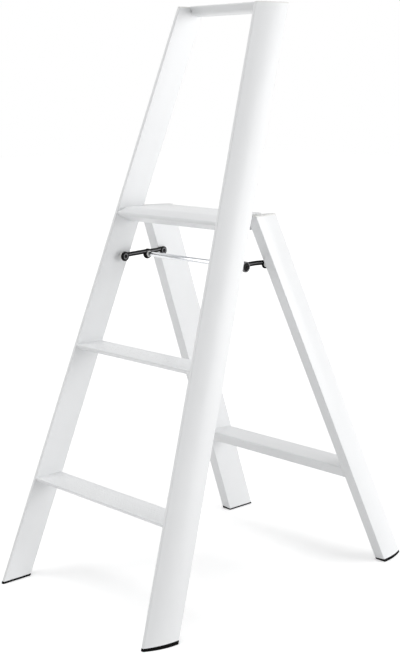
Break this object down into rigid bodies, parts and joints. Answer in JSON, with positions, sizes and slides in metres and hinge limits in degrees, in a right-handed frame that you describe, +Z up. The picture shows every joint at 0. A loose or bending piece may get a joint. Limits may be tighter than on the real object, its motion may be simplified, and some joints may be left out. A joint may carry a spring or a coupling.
{
  "type": "folding stepladder",
  "caption": "White folding stepladder with tapered front stiles, a handrail over its top platform, shallow treads, a hinged rear frame and black spreader links joined by a lift bar.",
  "frame": {"origin": "middle of the open ladder's footprint, on the floor", "axes": "+X across the ladder to its user's right, +Y from the steps towards the rear legs, +Z up"},
  "size_m": [0.5154, 0.7687, 1.2111],
  "materials": {
    "white_enamel": "satin",
    "white_nylon": "matte",
    "black_enamel": "satin",
    "foot_rubber": "matte",
    "zinc_steel": "satin"
  },
  "bodies": {
    "front_frame": {"left_stile": "white_enamel", "left_stile_cap": "white_nylon", "left_front_foot": "foot_rubber", "left_handrail_plug": "white_nylon", "left_hinge_bracket": "white_enamel", "left_hinge_pin": "zinc_steel", "left_front_stud": "black_enamel", "lower_step_bracket_left": "white_enamel", "middle_step_bracket_left": "white_enamel", "right_stile": "white_enamel", "right_stile_cap": "white_nylon", "right_front_foot": "foot_rubber", "right_handrail_plug": "white_nylon", "right_hinge_bracket": "white_enamel", "right_hinge_pin": "zinc_steel", "right_front_stud": "black_enamel", "lower_step_bracket_right": "white_enamel", "middle_step_bracket_right": "white_enamel", "handrail": "white_enamel", "lower_step": "white_enamel", "middle_step": "white_enamel", "platform": "white_enamel", "stile_rivets": "zinc_steel", "step_screws": "zinc_steel"},
    "rear_frame": {"left_rear_leg": "white_enamel", "left_leg_cap": "white_nylon", "left_rear_foot": "foot_rubber", "left_brace_plug": "white_nylon", "left_hinge_bush": "white_nylon", "left_rear_stud": "black_enamel", "right_rear_leg": "white_enamel", "right_leg_cap": "white_nylon", "right_rear_foot": "foot_rubber", "right_brace_plug": "white_nylon", "right_hinge_bush": "white_nylon", "right_rear_stud": "black_enamel", "rear_brace": "white_enamel", "brace_rivets": "zinc_steel"},
    "lift_links": {"left_front_link": "black_enamel", "right_front_link": "black_enamel", "lift_bar": "zinc_steel", "left_bar_collar": "white_nylon", "right_bar_collar": "white_nylon"},
    "left_rear_link": {"left_rear_link": "black_enamel", "left_link_rivet": "black_enamel"},
    "right_rear_link": {"right_rear_link": "black_enamel", "right_link_rivet": "black_enamel"}
  },
  "joints": [
    {"name": "frame_fold", "type": "hinge", "parent": "front_frame", "child": "rear_frame", "pos_m": [0, -0.0042, 0.7722], "axis": [-1, 0, 0], "range_deg": [0, 42.18]},
    {"name": "lift_links_fold", "type": "hinge", "parent": "front_frame", "child": "lift_links", "pos_m": [0, -0.1002, 0.6859], "axis": [1, 0, 0], "range_deg": [0, 57.72]},
    {"name": "left_rear_link_fold", "type": "hinge", "parent": "rear_frame", "child": "left_rear_link", "pos_m": [-0.155, 0.0176, 0.6879], "axis": [-1, 0, 0], "range_deg": [0, 27.34]},
    {"name": "right_rear_link_fold", "type": "hinge", "parent": "rear_frame", "child": "right_rear_link", "pos_m": [0.155, 0.0176, 0.6879], "axis": [-1, 0, 0], "range_deg": [0, 27.34]}
  ],
  "couplings": [
    {"joint": "lift_links_fold", "follows": "frame_fold", "ratio": 1.366},
    {"joint": "left_rear_link_fold", "follows": "frame_fold", "ratio": 0.6458},
    {"joint": "right_rear_link_fold", "follows": "frame_fold", "ratio": 0.6458}
  ]
}
